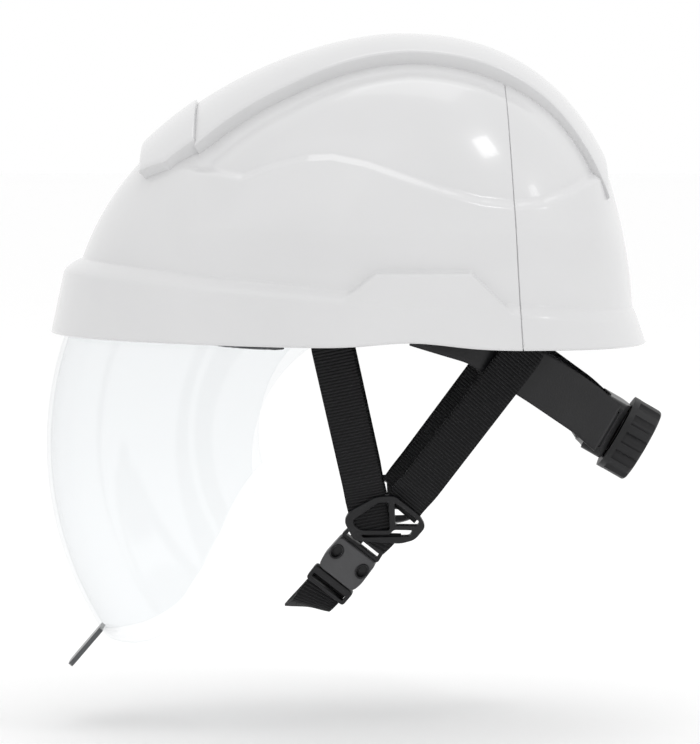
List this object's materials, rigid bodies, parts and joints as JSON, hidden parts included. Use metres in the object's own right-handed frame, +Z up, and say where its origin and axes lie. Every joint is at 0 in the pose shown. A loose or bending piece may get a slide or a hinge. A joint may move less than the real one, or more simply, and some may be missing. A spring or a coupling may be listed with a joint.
{
  "type": "hard hat",
  "caption": "White two-piece hard hat with raised crest, slide-down clear face visor, webbing harness, ratchet headband and buckled chin strap",
  "frame": {"origin": "middle of the head seat, on the middle plane and level with the lowest part of the rim", "axes": "+Z up; -X towards the brow; +X towards the nape; +Y towards the wearer's right"},
  "size_m": [0.3104, 0.234, 0.3183],
  "materials": {
    "shell_white": "glossy moulded shell",
    "visor_clear": "clear polycarbonate sheet",
    "tab_smoke": "smoked translucent tab",
    "black_plastic": "fine grain moulded plastic",
    "grey_plastic": "satin moulded plastic",
    "webbing": "ribbed woven webbing",
    "foam": "soft padded cloth",
    "steel": "small screws"
  },
  "bodies": {
    "shell": {"band_hangers": "black_plastic", "brow_band": "black_plastic", "buckle_female": "grey_plastic", "chin_webbing": "webbing", "crest": "shell_white", "crest_front_block": "shell_white", "crown_pad": "foam", "crown_strap_across": "webbing", "crown_strap_clips": "black_plastic", "crown_strap_long": "webbing", "front_shell": "shell_white", "front_strap_left": "webbing", "front_strap_right": "webbing", "guide_left": "black_plastic", "guide_right": "black_plastic", "guide_screws": "steel", "lower_strap_left": "webbing", "nape_arm_left": "black_plastic", "nape_arm_right": "black_plastic", "rear_shell": "shell_white", "rear_strap_left": "webbing", "rear_strap_right": "webbing", "ring_screws": "steel", "strap_anchor_left": "black_plastic", "strap_anchor_right": "black_plastic", "strap_divider_left": "black_plastic", "strap_divider_right": "black_plastic", "suspension_ring": "black_plastic", "sweatband": "foam"},
    "visor": {"visor_lens": "visor_clear", "visor_tab": "tab_smoke", "visor_runners_left": "black_plastic", "visor_runners_right": "black_plastic"},
    "nape_carriage": {"ratchet_housing": "black_plastic", "ratchet_cover": "black_plastic", "cover_screws": "steel", "nape_pad": "foam", "click_ring": "black_plastic"},
    "knob": {"ratchet_knob": "black_plastic", "ratchet_pinion": "black_plastic"},
    "left_rack": {"rack_left": "black_plastic"},
    "right_rack": {"rack_right": "black_plastic"},
    "buckle_plug": {"buckle_male": "black_plastic", "buckle_prongs": "black_plastic"}
  },
  "joints": [
    {"name": "visor_raise", "type": "hinge", "parent": "shell", "child": "visor", "pos_m": [0.0197, 0, -0.0495], "axis": [0, 1, 0], "range_deg": [0, 50]},
    {"name": "headband_size", "type": "slide", "parent": "shell", "child": "nape_carriage", "axis": [0.866, 0, -0.5], "range_m": [-0.012, 0.01], "deforming": ["nape_arm_left", "nape_arm_right"]},
    {"name": "knob_turn", "type": "hinge", "parent": "nape_carriage", "child": "knob", "pos_m": [0.1357, 0, -0.0422], "axis": [0.866, 0, -0.5], "range_deg": [-140, 118]},
    {"name": "right_rack_slide", "type": "slide", "parent": "nape_carriage", "child": "right_rack", "axis": [0, 1, 0], "range_m": [-0.0125, 0.0105]},
    {"name": "left_rack_slide", "type": "slide", "parent": "nape_carriage", "child": "left_rack", "axis": [0, -1, 0], "range_m": [-0.0125, 0.0105]},
    {"name": "buckle_release", "type": "slide", "parent": "shell", "child": "buckle_plug", "axis": [-0.5998, 0.2599, -0.7568], "range_m": [0, 0.018], "deforming": ["buckle_prongs", "chin_webbing"]}
  ],
  "couplings": [
    {"joint": "knob_turn", "follows": "headband_size", "rad_per_m": 200},
    {"joint": "right_rack_slide", "follows": "headband_size", "ratio": 1},
    {"joint": "left_rack_slide", "follows": "headband_size", "ratio": 1}
  ]
}
